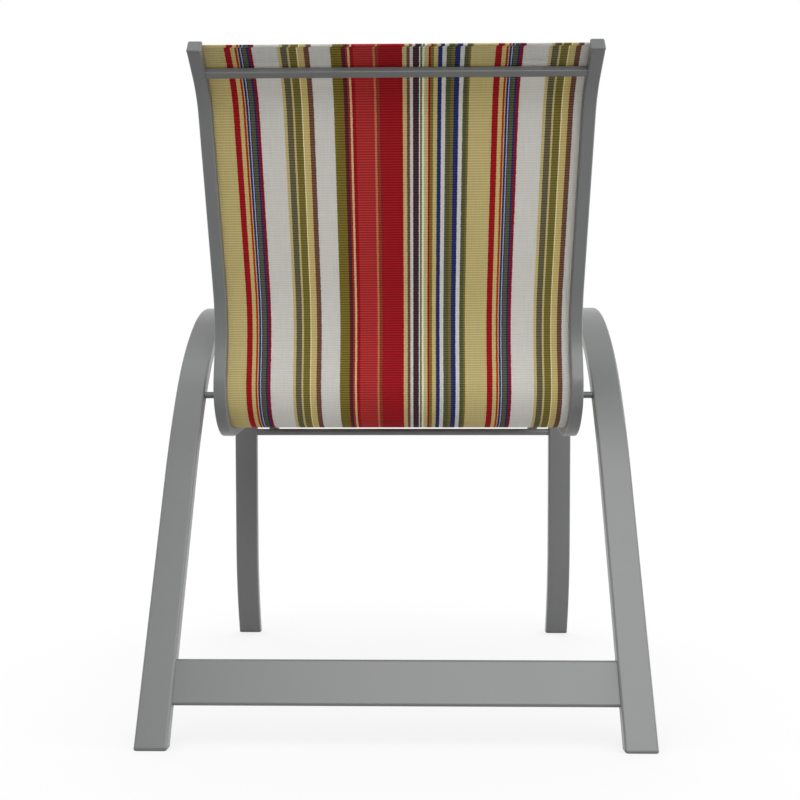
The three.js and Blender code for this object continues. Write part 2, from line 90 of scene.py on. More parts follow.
def cleared_tree(owner):
    """The emptied node tree of a material or of the sky."""
    owner.use_nodes = True
    owner.node_tree.nodes.clear()
    return owner.node_tree


def add_node(tree, kind, inputs, **settings):
    """One node with its settings, whose inputs are either values or the sockets that feed them."""
    node = tree.nodes.new("ShaderNode" + kind)
    for name, value in settings.items():
        setattr(node, name, value)
    for name, value in inputs.items():
        if isinstance(value, bpy.types.NodeSocket):
            tree.links.new(value, node.inputs[name])
        else:
            node.inputs[name].default_value = value
    return node


def seen_directly(tree):
    """1 for what the camera sees straight on, mirrored or through glass, and 0 for other light."""
    path = add_node(tree, "LightPath", {})
    camera_ray, glossy_ray, through_ray = [
        path.outputs[f"Is {kind} Ray"] for kind in ("Camera", "Glossy", "Transmission")
    ]
    mirrored = add_node(tree, "Math", {0: camera_ray, 1: glossy_ray}, operation="MAXIMUM")
    return add_node(tree, "Math", {0: mirrored.outputs[0], 1: through_ray}, operation="MAXIMUM").outputs[0]


def add_light(name, kind, strength, place):
    """A light at a place, turned towards the middle of the chair."""
    data = bpy.data.lights.new(name, kind)
    data.energy = strength
    lamp = place_object(name, data)
    lamp.location = place
    lamp.rotation_euler = (lit_middle - place).to_track_quat("-Z", "Y").to_euler()
    return lamp


camera_data = bpy.data.cameras.new("camera")
camera_data.sensor_width = sensor_width
camera_data.lens = sensor_width * focal_pixels / frame_pixels
camera = place_object("camera", camera_data)
camera.location = camera_place
camera_aim = Vector((
    math.sin(camera_turn) * math.cos(camera_tilt),
    -math.cos(camera_turn) * math.cos(camera_tilt),
    math.sin(camera_tilt),
))
camera.rotation_euler = camera_aim.to_track_quat("-Z", "Y").to_euler()
bpy.context.scene.camera = camera
bpy.context.scene.view_settings.view_transform = "Standard"

sky = bpy.data.worlds.new("studio_sky")
bpy.context.scene.world = sky
sky_tree = cleared_tree(sky)
sky_level = add_node(
    sky_tree, "MapRange", {"Value": seen_directly(sky_tree), "To Min": sky_strength, "To Max": 1}
)
sky_light = add_node(sky_tree, "Background", {"Color": white, "Strength": sky_level.outputs[0]})
add_node(sky_tree, "OutputWorld", {"Surface": sky_light.outputs[0]})

floor_mesh = bmesh.new()
bmesh.ops.create_grid(floor_mesh, x_segments=1, y_segments=1, size=floor_half)
floor_data = bpy.data.meshes.new("floor")
floor_mesh.to_mesh(floor_data)
floor_mesh.free()
floor = place_object("floor", floor_data)
floor_paint = bpy.data.materials.new("pale_floor")
floor_tree = cleared_tree(floor_paint)
floor_seen = seen_directly(floor_tree)
floor_share = add_node(
    floor_tree, "MapRange", {"Value": floor_seen, "To Min": floor_bounce, "To Max": floor_shadow}
)
floor_matt = add_node(floor_tree, "BsdfDiffuse", {"Color": floor_share.outputs[0]})
# Painted shadow: the floor's glow to the camera is darkened under the chair by how closed in each spot is.
painted_shadow_occlusion = add_node(floor_tree, "AmbientOcclusion", {"Distance": shade_reach})
painted_shadow_tone = add_node(
    floor_tree, "MapRange",
    {"Value": painted_shadow_occlusion.outputs["AO"], "To Min": floor_glow - floor_shade, "To Max": floor_glow},
)
floor_level = add_node(
    floor_tree, "Math", {0: floor_seen, 1: painted_shadow_tone.outputs[0]}, operation="MULTIPLY"
)
floor_shine = add_node(floor_tree, "Emission", {"Color": white, "Strength": floor_level.outputs[0]})
floor_both = add_node(floor_tree, "AddShader", {0: floor_matt.outputs[0], 1: floor_shine.outputs[0]})
add_node(floor_tree, "OutputMaterial", {"Surface": floor_both.outputs[0]})
floor_data.materials.append(floor_paint)

for name, (azimuth, elevation, spread, strength) in far_lights.items():
    turn, rise = math.radians(azimuth), math.radians(elevation)
    direction = Vector((-math.sin(turn) * math.cos(rise), math.cos(turn) * math.cos(rise), math.sin(rise)))
    light = add_light(name, "SUN", strength, lit_middle + direction)
    light.data.angle = math.radians(spread)
    light.visible_glossy = abs(azimuth) < mirrored_azimuth
for name, (place, strength) in near_lamps.items():
    add_light(name, "AREA", strength, Vector(place)).data.size = near_size

# Side frames
# Each is one length of flat aluminium tube, bent from the rear foot up over the arm and down to the
# front foot, powder coated satin grey. An access hole in the outer face lets each joint bolt in.
tube_width = 0.0394
tube_depth = 0.016
tube_wall = 0.0016
tube_corner = 0.0028
tube_end = 0.0035
overall_width = 0.6108
arm_height = 0.5712
arm_run = 0.106
rear_leg_lean = math.radians(22.6)
front_leg_lean = math.radians(4.55)
# Each bend of the arch: its radius, and the heading in degrees that it ends at.
arch_bends = [(0.782, 31.9), (0.332, 55.9), (0.224, 90)]
arm_front_radius = 0.102
foot_sweep_radius = 0.525
foot_sweep_height = 0.172
foot_straight = 0.024
access_hole_radius = 0.005
bend_sag = 0.00003
sharp_angle = math.radians(40)
corner_steps = 6
hole_segments = 48
end_reach = 0.06
flat_weight = 100
peel_roughness = 0.4
cloud_scale = 14
cloud_detail = 3
gloss_spread = 0.05
leg_inner_face = overall_width / 2 - tube_width
leg_centre = overall_width / 2 - tube_width / 2
heel_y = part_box("side_frame_left")[1].y + tube_end * math.tan(rear_leg_lean)
across_turn = Vector((1, 0, 0)).to_track_quat("Z", "Y").to_matrix()
sides = [("left", 1), ("right", -1)]


def side_point(forward, height):
    """A point of the chair's side plane, by its distance forward from the rear heel."""
    return Vector((0, heel_y - forward, height))


def along(heading, length):
    """The move of that length along a heading of the side plane, which turns from +Z to the front."""
    return Vector((0, -math.sin(heading), math.cos(heading))) * length


def square_to(heading, length):
    """The move of that length square to a heading, a quarter turn behind it."""
    return Vector((0, math.cos(heading), math.sin(heading))) * length


def arc(x, y, radius, first, last, steps):
    """Points round part of a circle, from one angle to another in degrees."""
    angles = [math.radians(first + (last - first) * step / steps) for step in range(steps + 1)]
    return [(x + radius * math.cos(angle), y + radius * math.sin(angle)) for angle in angles]


def rounded_outline(left, right, bottom, top, corner):
    """A rectangle with round corners, anticlockwise from the right-hand end of its bottom side."""
    return (
        arc(right - corner, bottom + corner, corner, -90, 0, corner_steps)
        + arc(right - corner, top - corner, corner, 0, 90, corner_steps)
        + arc(left + corner, top - corner, corner, 90, 180, corner_steps)
        + arc(left + corner, bottom + corner, corner, 180, 270, corner_steps)
    )


def centred_outline(width, depth, corner, middle=0):
    """The same rectangle round a middle line."""
    return rounded_outline(middle - width / 2, middle + width / 2, -depth / 2, depth / 2, corner)


class Bar:
    """A section pushed and bent in the side plane, which notes how far along it each point lies."""

    def __init__(self, point, heading):
        self.mesh = bmesh.new()
        self.along = self.mesh.verts.layers.float.new("along")
        self.across = self.mesh.verts.layers.float.new("across")
        self.point = point.copy()
        self.heading = heading
        self.reach = 0
        self.front = []

    def lay(self, outline, closed=True):
        """Sets out one outline of the section, square to the bar, where the bar has got to."""
        places = [self.point + Vector((x, 0, 0)) + square_to(self.heading, n) for x, n in outline]
        verts = [self.mesh.verts.new(place) for place in places]
        for vert in verts:
            vert[self.along] = self.reach
        ends = zip(verts, verts[1:] + verts[:1]) if closed else zip(verts, verts[1:])
        self.front += [self.mesh.edges.new(pair) for pair in ends]
        return verts

    def advance(self, made, length):
        """Takes the newest ring of points as the end that the bar goes on from."""
        self.reach += length
        newest = {part for part in made if isinstance(part, bmesh.types.BMVert)}
        for vert in newest:
            vert[self.along] = self.reach
        edges = [part for part in made if isinstance(part, bmesh.types.BMEdge)]
        self.front = [edge for edge in edges if newest.issuperset(edge.verts)]

    def run(self, length):
        """Pushes the bar straight on."""
        made = bmesh.ops.extrude_edge_only(self.mesh, edges=self.front)["geom"]
        newest = [part for part in made if isinstance(part, bmesh.types.BMVert)]
        move = along(self.heading, length)
        bmesh.ops.translate(self.mesh, verts=newest, vec=move)
        self.point += move
        self.advance(made, length)

    def bend(self, radius, heading):
        """Pushes the bar round a bend, up to a new heading, in steps too short to show."""
        turn = heading - self.heading
        centre = self.point - square_to(self.heading, math.copysign(radius, turn))
        steps = max(1, math.ceil(abs(turn) / (2 * math.acos(1 - min(1, bend_sag / radius)))))
        for _ in range(steps):
            verts = {vert for edge in self.front for vert in edge.verts}
            made = bmesh.ops.spin(
                self.mesh, geom=list(verts) + self.front, cent=centre, axis=(1, 0, 0), angle=turn / steps,
                steps=1, use_duplicate=False,
            )["geom_last"]
            self.advance(made, radius * abs(turn) / steps)
        self.heading = heading
        self.point = centre + square_to(heading, math.copysign(radius, turn))


def fill_open_ends(mesh):
    """Closes each flat end of a hollow bar between its outline and its bores, which lie close by."""
    open_edges = [edge for edge in mesh.edges if edge.is_boundary]
    while open_edges:
        middle = open_edges[0].verts[0].co.copy()
        loop_plane = [edge for edge in open_edges if (edge.verts[0].co - middle).length < end_reach]
        bmesh.ops.triangle_fill(mesh, use_beauty=True, edges=loop_plane)
        open_edges = [edge for edge in open_edges if edge not in loop_plane]


def finish_piece(name, mesh, material, nodes):
    """Makes a mesh the piece that stands for its CAD nodes, smooth shaded but sharp over its sharp angles.
    """
    bmesh.ops.recalc_face_normals(mesh, faces=mesh.faces)
    for face in mesh.faces:
        face.smooth = True
    for edge in mesh.edges:
        if len(edge.link_faces) == 2 and edge.calc_face_angle() > sharp_angle:
            edge.smooth = False
    data = bpy.data.meshes.new(name)
    mesh.to_mesh(data)
    mesh.free()
    data.materials.append(material)
    piece = place_object(name, data)
    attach(piece, "root")
    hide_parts(*nodes)
    return piece


def even_shading(piece):
    """Shades the flats of a piece flat, and leaves the round of its edges to its small faces."""
    shading = piece.modifiers.new("even_shading", "WEIGHTED_NORMAL")
    shading.weight = flat_weight
    shading.keep_sharp = True


def from_screen(red, green, blue):
    """A colour in screen steps of 0 to 255, turned by the sRGB curve to the light that it sends back."""
    shares = [step / 255 for step in (red, green, blue)]
    return tuple(share / 12.92 if share <= 0.04045 else ((share + 0.055) / 1.055) ** 2.4 for share in shares)


def skin_group():
    """Fine unevenness of a sprayed or moulded skin: slow changes of tone and a close orange peel."""
    group = bpy.data.node_groups.new("fine_skin", "ShaderNodeTree")
    for name in ("Peel Size", "Tone Spread"):
        group.interface.new_socket(name=name, in_out="INPUT", socket_type="NodeSocketFloat")
    for name in ("Tone", "Height"):
        group.interface.new_socket(name=name, in_out="OUTPUT", socket_type="NodeSocketFloat")
    inward = group.nodes.new("NodeGroupInput")
    place = add_node(group, "TexCoord", {})
    peel_scale = add_node(group, "Math", {0: 1, 1: inward.outputs["Peel Size"]}, operation="DIVIDE")
    peel = add_node(
        group, "TexNoise",
        {
            "Vector": place.outputs["Object"],
            "Scale": peel_scale.outputs[0],
            "Detail": 1,
            "Roughness": peel_roughness,
        },
    )
    cloud = add_node(
        group, "TexNoise",
        {"Vector": place.outputs["Object"], "Scale": cloud_scale, "Detail": cloud_detail},
    )
    centred = add_node(group, "Math", {0: cloud.outputs[0], 1: 0.5}, operation="SUBTRACT")
    tone = add_node(
        group, "Math",
        {0: centred.outputs[0], 1: inward.outputs["Tone Spread"], 2: 1},
        operation="MULTIPLY_ADD",
    )
    outward = group.nodes.new("NodeGroupOutput")
    group.links.new(tone.outputs[0], outward.inputs["Tone"])
    group.links.new(peel.outputs[0], outward.inputs["Height"])
    return group


fine_skin = skin_group()


def skinned_material(name, colour, roughness, peel_size, peel_depth, tone_spread, metallic=0.0):
    """A material of one colour, broken up by the fine unevenness of its skin."""
    material = bpy.data.materials.new(name)
    tree = cleared_tree(material)
    skin = add_node(tree, "Group", {}, node_tree=fine_skin)
    skin.inputs["Peel Size"].default_value = peel_size
    skin.inputs["Tone Spread"].default_value = tone_spread
    toned = add_node(
        tree, "VectorMath", {0: colour, "Scale": skin.outputs["Tone"]}, operation="SCALE"
    )
    rough = add_node(
        tree, "MapRange",
        {
            "Value": skin.outputs["Height"],
            "To Min": roughness - gloss_spread,
            "To Max": roughness + gloss_spread,
        },
    )
    relief = add_node(
        tree, "Bump", {"Height": skin.outputs["Height"], "Strength": 1, "Distance": peel_depth}
    )
    shader = add_node(
        tree, "BsdfPrincipled",
        {
            "Base Color": toned.outputs[0],
            "Roughness": rough.outputs[0],
            "Metallic": metallic,
            "Normal": relief.outputs[0],
        },
    )
    add_node(tree, "OutputMaterial", {"Surface": shader.outputs[0]})
    return material


frame_paint = skinned_material(
    "satin_powder_coat", from_screen(106, 108, 107), roughness=0.33, peel_size=0.0016,
    peel_depth=0.00003, tone_spread=0.06,
)


def side_frame_mesh(sign):
    """The bar of one side frame: the hollow tube, bent through its arch and cut level at both feet."""
    arch_rise = 0
    lean = rear_leg_lean
    for radius, degrees in arch_bends:
        arch_rise += radius * (math.sin(math.radians(degrees)) - math.sin(lean))
        lean = math.radians(degrees)
    bar = Bar(side_point(tube_depth / 2 / math.cos(rear_leg_lean), 0), rear_leg_lean)
    bar.lay(centred_outline(tube_width, tube_depth, tube_corner, sign * leg_centre))
    bore_width = tube_width - 2 * tube_wall
    bore_depth = tube_depth - 2 * tube_wall
    bar.lay(centred_outline(bore_width, bore_depth, tube_corner - tube_wall, sign * leg_centre))
    bar.run((arm_height - tube_depth / 2 - arch_rise) / math.cos(rear_leg_lean))
    for radius, degrees in arch_bends:
        bar.bend(radius, math.radians(degrees))
    bar.run(arm_run)
    bar.bend(arm_front_radius, math.pi - front_leg_lean)
    bar.run((bar.point.z - foot_sweep_height) / math.cos(front_leg_lean))
    sweep_sine = math.sin(front_leg_lean) + (foot_sweep_height - foot_straight) / foot_sweep_radius
    end_heading = math.pi - math.asin(sweep_sine)
    bar.bend(foot_sweep_radius, end_heading)
    bar.run(foot_straight / -math.cos(end_heading))
    parts = bar.mesh.verts[:] + bar.mesh.edges[:] + bar.mesh.faces[:]
    bmesh.ops.bisect_plane(
        bar.mesh, geom=parts, plane_co=(0, 0, tube_end), plane_no=(0, 0, 1), clear_inner=True
    )
    fill_open_ends(bar.mesh)
    return bar


def drill(piece, places, radius, start_x, end_x):
    """Cuts round holes along X through a piece."""
    drill_mesh = bmesh.new()
    for place in places:
        made = bmesh.ops.create_cone(
            drill_mesh, cap_ends=True, segments=hole_segments, radius1=radius, radius2=radius,
            depth=abs(end_x - start_x),
        )["verts"]
        bmesh.ops.rotate(drill_mesh, verts=made, cent=(0, 0, 0), matrix=across_turn)
        bmesh.ops.translate(drill_mesh, verts=made, vec=((start_x + end_x) / 2, place.y, place.z))
    drill_data = bpy.data.meshes.new("drill")
    drill_mesh.to_mesh(drill_data)
    drill_mesh.free()
    bit = place_object("drill", drill_data)
    hole = piece.modifiers.new("hole", "BOOLEAN")
    hole.operation = "DIFFERENCE"
    hole.solver = "EXACT"
    hole.object = bit
    drilled = bpy.data.meshes.new_from_object(piece.evaluated_get(bpy.context.evaluated_depsgraph_get()))
    piece.modifiers.remove(hole)
    piece.data = drilled
    bpy.data.objects.remove(bit)


def middle_of(node):
    """The middle of a solid's box."""
    low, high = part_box(node)
    return (low + high) / 2


joint_places = {end: middle_of(f"spacer_{end}_left") for end in ("rear", "front")}

for side, sign in sides:
    side_bar = side_frame_mesh(sign)
    front_foot = side_bar.point
    foot_heading = side_bar.heading
    side_frame = finish_piece(
        f"tube_frame_{side}", side_bar.mesh, frame_paint, [f"side_frame_{side}"]
    )
    hole_start = sign * (overall_width / 2 - 2 * tube_wall)
    hole_end = sign * (overall_width / 2 + tube_wall)
    drill(side_frame, joint_places.values(), access_hole_radius, hole_start, hole_end)
    even_shading(side_frame)

# Sling rails
# Each is a hollow aluminium extrusion with a keyhole channel down its inner face that locks the sling's
# edge, bent to the line of back and seat, drilled for the brace's screw and powder coated like the frame.
rail_inner = 0.2353
rail_outer = 0.2525
rail_behind = 0.0127
rail_ahead = 0.0064
rail_corner = 0.0022
rail_wall = 0.0016
fit_gap = 0.0003
close_gap = 0.0001
screw_hole_depth = 0.0024
keyhole_steps = 24
slot_width = 0.0024
channel_radius = 0.0039
channel_wall = 0.0012
channel_line = rail_inner + 0.0057
seat_corner_place = (0.1819, 0.3683)
lower_back_length = 0.1604
back_length = 0.305
flare_length = 0.0687
flare_heading = math.pi - math.radians(58.4)
back_heading = math.pi - math.radians(24.6)
lower_heading = math.pi + math.radians(8)
seat_heading = math.radians(90 - 8.9)
flare_radius = 0.1
lumbar_radius = 0.177
seat_corner_radius = 0.058
nose_radius = 0.05
nose_forward = 0.6991
rail_end_height = 0.3775
seat_length = (nose_forward - seat_corner_place[0]) / math.sin(seat_heading)
nose_height = seat_corner_place[1] + seat_length * math.cos(seat_heading)
# Each straight of the line that the sling follows: its length, its heading, and the bend after it.
sling_legs = [
    (flare_length, flare_heading, flare_radius),
    (back_length, back_heading, lumbar_radius),
    (lower_back_length, lower_heading, seat_corner_radius),
    (seat_length, seat_heading, nose_radius),
    (nose_height - rail_end_height, math.pi, 0),
]
rail_top = (
    side_point(*seat_corner_place)
    - along(lower_heading, lower_back_length)
    - along(back_heading, back_length)
    - along(flare_heading, flare_length)
)


def follow_sling_line(bar, top_inset, front_inset):
    """Pushes a bar through the bends of the back and the seat, less an inset at each end."""
    used = top_inset
    for index, (length, heading, radius) in enumerate(sling_legs):
        last = index == len(sling_legs) - 1
        next_heading = heading if last else sling_legs[index + 1][1]
        tangent = radius * math.tan(abs(next_heading - heading) / 2)
        bar.run(length - used - (front_inset if last else tangent))
        if not last:
            bar.bend(radius, next_heading)
        used = tangent


mouth = math.degrees(math.asin(slot_width / 2 / channel_radius))
keyhole = (
    [(rail_inner, slot_width / 2)]
    + arc(channel_line, 0, channel_radius, 180 - mouth, mouth - 180, keyhole_steps)
    + [(rail_inner, -slot_width / 2)]
)
rail_body = rounded_outline(rail_inner, rail_outer, -rail_behind, rail_ahead, rail_corner)
inner_face = 3 * (corner_steps + 1)
rail_outline = rail_body[:inner_face] + keyhole + rail_body[inner_face:]
chamber_inner = channel_line + channel_radius + channel_wall
chamber = [
    (rail_inner + rail_wall, rail_wall - rail_behind),
    (rail_outer - rail_wall, rail_wall - rail_behind),
    (rail_outer - rail_wall, rail_ahead - rail_wall),
    (chamber_inner, rail_ahead - rail_wall),
    (chamber_inner, -channel_radius - channel_wall),
    (rail_inner + rail_wall, -channel_radius - channel_wall),
]
for side, sign in sides:
    rail = Bar(rail_top, flare_heading)
    rail.lay([(sign * x, n) for x, n in rail_outline])
    rail.lay([(sign * x, n) for x, n in chamber])
    follow_sling_line(rail, 0, 0)
    fill_open_ends(rail.mesh)
    sling_rail = finish_piece(
        f"sling_rail_bar_{side}", rail.mesh, frame_paint, [f"sling_rail_{side}"]
    )
    screw_low, screw_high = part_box(f"brace_screw_{side}")
    head_radius = (screw_high.z - screw_low.z) / 2 + close_gap
    hole_start = sign * (rail_outer - screw_hole_depth)
    hole_end = sign * (rail_outer + rail_wall)
    drill(sling_rail, [middle_of(f"brace_screw_{side}")], head_radius, hole_start, hole_end)
    even_shading(sling_rail)

# Brace and stretchers
# A small square tube ties the rails behind the sling, a round bar joins the front legs under the seat,
# and a flat oval tube joins the rear legs near the floor. The stretchers are welded in before coating.
brace_size = 0.0095
brace_corner = 0.0012
brace_wall = 0.0012
front_bar_radius = 0.006
front_bar_wall = 0.0012
rear_bar_width = 0.0542
rear_bar_depth = 0.008
rear_bar_wall = 0.0015
rear_bar_corner = 0.0034
same_place = 0.000001


def cross_tube(name, node, place, heading, depth, width, wall, corner, half_length):
    """A tube across the chair, its depth square to the heading and its width along it."""
    mesh = bmesh.new()
    start = Vector((-half_length, place.y, place.z))
    edges = []
    for inset in (0, wall):
        outline = centred_outline(depth - 2 * inset, width - 2 * inset, max(corner - inset, wall / 4))
        ring = [mesh.verts.new(start + square_to(heading, n) + along(heading, t)) for n, t in outline]
        edges += [mesh.edges.new(pair) for pair in zip(ring, ring[1:] + ring[:1])]
    made = bmesh.ops.extrude_edge_only(mesh, edges=edges)["geom"]
    far_end = [part for part in made if isinstance(part, bmesh.types.BMVert)]
    bmesh.ops.translate(mesh, verts=far_end, vec=(2 * half_length, 0, 0))
    bmesh.ops.remove_doubles(mesh, verts=mesh.verts, dist=same_place)
    fill_open_ends(mesh)
    even_shading(finish_piece(name, mesh, frame_paint, [node]))


cross_tube(
    "brace_tube", "top_brace", middle_of("top_brace"), flare_heading,
    brace_size, brace_size, brace_wall, brace_corner, rail_inner,
)
cross_tube(
    "front_bar", "front_stretcher", middle_of("front_stretcher"), front_leg_lean,
    2 * front_bar_radius, 2 * front_bar_radius, front_bar_wall, front_bar_radius, leg_inner_face,
)
cross_tube(
    "rear_bar", "rear_stretcher", middle_of("rear_stretcher"), rear_leg_lean,
    rear_bar_depth, rear_bar_width, rear_bar_wall, rear_bar_corner, leg_inner_face,
)

# Sling
# One length of coated polyester, woven with fine cross ribs and many coloured stripes. Each side is
# sewn into a sleeve that a spline locks in its rail, and the top and the front are hemmed.
cloth_thickness = 0.0011
sleeve_radius = 0.0029
sleeve_start = 28
hem_length = 0.022
turn_in_length = 0.018
layer_step = 0.0012
hem_side_gap = 0.0008
sling_top_inset = 0.0001
sling_front_inset = 0.0105
hem_skew = 0.003
skew_run = 0.0012
columns = 24
sleeve_steps = 20
millimetre = 0.001
pattern_start = -0.2391
rib_pitch = 0.003315
rib_slant = 0.0066
rib_relief = 0.00025
# How far the painted shade in the grooves and the painted light on the rib tops swing the cloth's colour.
painted_rib_shade = 0.55
weft_light = 0.012
mean_rib = 2 / math.pi
yarn_pitch = 0.001
edge_wander = 0.00035
wander_width = 0.01
streak_length = 0.04
streak_spread = 0.1
yarn_relief = 0.3
cloth_roughness = 0.8
cloth_gloss = 0.12
see_through = 0.24
# Each yarn: its colour in screen steps, and how strongly the painted rib shade and the pale weft show in it.
yarns = {
    "straw": (203, 189, 133, 0.32), "crimson": (165, 17, 29, 0.68), "brick": (182, 50, 50, 0.66),
    "gold": (207, 190, 127, 0.28), "rust": (180, 46, 19, 0.7), "navy": (38, 47, 109, 1),
    "lilac": (186, 188, 211, 0.3), "moss": (93, 94, 60, 0.8), "maroon": (144, 18, 35, 0.8),
    "white": (218, 216, 211, 0.08), "umber": (108, 100, 75, 0.9), "olive": (126, 115, 55, 0.8),
    "sand": (240, 231, 188, 0.3), "chestnut": (120, 82, 66, 0.95), "tan": (189, 128, 92, 0.6),
    "plum": (70, 41, 49, 0.9), "cream": (231, 234, 221, 0.2), "green": (127, 113, 40, 0.8),
    "slate": (232, 240, 240, 0.3), "bark": (86, 82, 60, 0.9), "buff": (214, 196, 150, 0.4),
}
# Each stripe of one repeat of the pattern: its yarn, and its width in millimetres.
stripes = [
    ("straw", 29.2), ("crimson", 7.5), ("gold", 4.8), ("rust", 3.1), ("gold", 1.4), ("navy", 3),
    ("lilac", 1.2), ("navy", 1), ("moss", 4.6), ("navy", 3.6), ("maroon", 3.4), ("white", 30.7),
    ("straw", 4.6), ("umber", 7.7), ("straw", 2.4), ("olive", 8.5), ("sand", 1.5), ("gold", 8.2),
    ("chestnut", 6.2), ("white", 25.8), ("green", 12.4), ("maroon", 2.4), ("plum", 2.9), ("rust", 2.6),
    ("buff", 2.9), ("crimson", 5.4), ("brick", 23.7), ("tan", 1.8), ("rust", 2.8), ("bark", 1.9),
    ("crimson", 29.6), ("straw", 4.8), ("chestnut", 3.8), ("white", 3.5), ("plum", 7.8), ("slate", 1.2),
    ("olive", 2.9), ("cream", 2.4), ("straw", 5.7), ("crimson", 2.4), ("olive", 3.5), ("gold", 6),
    ("navy", 4.7), ("white", 4.7), ("moss", 6.9), ("olive", 3.8), ("navy", 6.2), ("white", 6.1),
    ("moss", 5.2), ("olive", 2.7),
]
first_ramp_stripes = 26


def stripe_ramp(tree, share, bands, start, repeat):
    """A run of stripes as one unblended colour ramp, with how strongly the painted rib shade and the pale
    weft show in each as alpha.
    """
    ramp = add_node(tree, "ValToRGB", {"Fac": share})
    ramp.color_ramp.interpolation = "CONSTANT"
    reached = start
    for index, (yarn, width) in enumerate(bands):
        stop = ramp.color_ramp.elements[0] if index == 0 else ramp.color_ramp.elements.new(reached / repeat)
        stop.position = reached / repeat
        red, green, blue, rib_shade_and_weft_share = yarns[yarn]
        stop.color = (*from_screen(red, green, blue), rib_shade_and_weft_share)
        reached += width
    ramp.color_ramp.elements.remove(ramp.color_ramp.elements[-1])
    return ramp


def wave(tree, distance, pitch):
    """1 along the middle of each rib or yarn and 0 along the line between two."""
    turn = add_node(tree, "Math", {0: distance, 1: math.pi / pitch}, operation="MULTIPLY")
    swing = add_node(tree, "Math", {0: turn.outputs[0]}, operation="SINE")
    return add_node(tree, "Math", {0: swing.outputs[0]}, operation="ABSOLUTE").outputs[0]


def sling_material():
    """Striped rib weave: painted shade along the grooves and painted light along the rib tops, pale weft on
    the ribs, uneven yarns, and light let through.
    """
    material = bpy.data.materials.new("striped_sling_cloth")
    tree = cleared_tree(material)
    place = add_node(tree, "TexCoord", {})
    split = add_node(tree, "SeparateXYZ", {"Vector": place.outputs["UV"]})
    across = split.outputs["X"]
    along_cloth = split.outputs["Y"]
    rib_line = add_node(
        tree, "Math", {0: across, 1: rib_slant, 2: along_cloth}, operation="MULTIPLY_ADD"
    )
    rib = wave(tree, rib_line.outputs[0], rib_pitch)
    yarn = wave(tree, across, yarn_pitch)

    uneven_place = add_node(
        tree, "VectorMath", {0: place.outputs["UV"], 1: (1 / wander_width, 1 / rib_pitch, 1)},
        operation="MULTIPLY",
    )
    uneven = add_node(tree, "TexNoise", {"Vector": uneven_place.outputs[0], "Scale": 1, "Detail": 0})
    wander = add_node(
        tree, "MapRange",
        {"Value": uneven.outputs[0], "To Min": -edge_wander, "To Max": edge_wander},
    )
    wandered = add_node(tree, "Math", {0: across, 1: wander.outputs[0]}, operation="ADD")
    repeat = sum(width for _, width in stripes)
    repeat_length = repeat * millimetre
    shifted = add_node(
        tree, "Math",
        {0: wandered.outputs[0], 1: 1 / repeat_length, 2: -pattern_start / repeat_length},
        operation="MULTIPLY_ADD",
    )
    share = add_node(tree, "Math", {0: shifted.outputs[0]}, operation="FRACT")
    half = sum(width for _, width in stripes[:first_ramp_stripes])
    near = stripe_ramp(tree, share.outputs[0], stripes[:first_ramp_stripes], 0, repeat)
    far = stripe_ramp(tree, share.outputs[0], stripes[first_ramp_stripes:], half, repeat)
    beyond = add_node(tree, "Math", {0: share.outputs[0], 1: half / repeat}, operation="GREATER_THAN")
    colour = add_node(
        tree, "Mix",
        {0: beyond.outputs[0], 6: near.outputs["Color"], 7: far.outputs["Color"]},
        data_type="RGBA",
    )
    rib_shade_and_weft_share = add_node(
        tree, "Mix",
        {0: beyond.outputs[0], 2: near.outputs["Alpha"], 3: far.outputs["Alpha"]},
        data_type="FLOAT",
    )

    # Painted rib shade: the colour is darkened along each groove and lightened along each rib's top, as far
    # as the stripe's share says.
    swing = add_node(
        tree, "Math", {0: rib, 1: 2 * painted_rib_shade, 2: -2 * painted_rib_shade * mean_rib},
        operation="MULTIPLY_ADD",
    )
    painted_rib_tone = add_node(
        tree, "Math", {0: swing.outputs[0], 1: rib_shade_and_weft_share.outputs[0], 2: 1}, operation="MULTIPLY_ADD"
    )
    streak_place = add_node(
        tree, "VectorMath", {0: place.outputs["UV"], 1: (1 / yarn_pitch, 1 / streak_length, 1)},
        operation="MULTIPLY",
    )
    streak = add_node(tree, "TexNoise", {"Vector": streak_place.outputs[0], "Scale": 1, "Detail": 1})
    streak_tone = add_node(
        tree, "MapRange",
        {"Value": streak.outputs[0], "To Min": 1 - streak_spread, "To Max": 1 + streak_spread},
    )
    tone = add_node(
        tree, "Math", {0: painted_rib_tone.outputs[0], 1: streak_tone.outputs[0]}, operation="MULTIPLY"
    )
    shaded = add_node(
        tree, "VectorMath", {0: colour.outputs[2], "Scale": tone.outputs[0]}, operation="SCALE"
    )
    weft_seen = add_node(tree, "Math", {0: rib, 1: rib_shade_and_weft_share.outputs[0]}, operation="MULTIPLY")
    weft = add_node(tree, "Math", {0: weft_seen.outputs[0], 1: weft_light}, operation="MULTIPLY")
    toned = add_node(tree, "VectorMath", {0: shaded.outputs[0], 1: weft.outputs[0]}, operation="ADD")

    height = add_node(tree, "Math", {0: yarn, 1: yarn_relief, 2: rib}, operation="MULTIPLY_ADD")
    relief = add_node(tree, "Bump", {"Height": height.outputs[0], "Strength": 1, "Distance": rib_relief})
    surface = add_node(
        tree, "BsdfPrincipled",
        {
            "Base Color": toned.outputs[0],
            "Roughness": cloth_roughness,
            "Specular IOR Level": cloth_gloss,
            "Normal": relief.outputs[0],
        },
    )
    glow = add_node(tree, "BsdfTranslucent", {"Color": toned.outputs[0], "Normal": relief.outputs[0]})
    both = add_node(tree, "MixShader", {0: see_through, 1: surface.outputs[0], 2: glow.outputs[0]})
    add_node(tree, "OutputMaterial", {"Surface": both.outputs[0]})
    return material


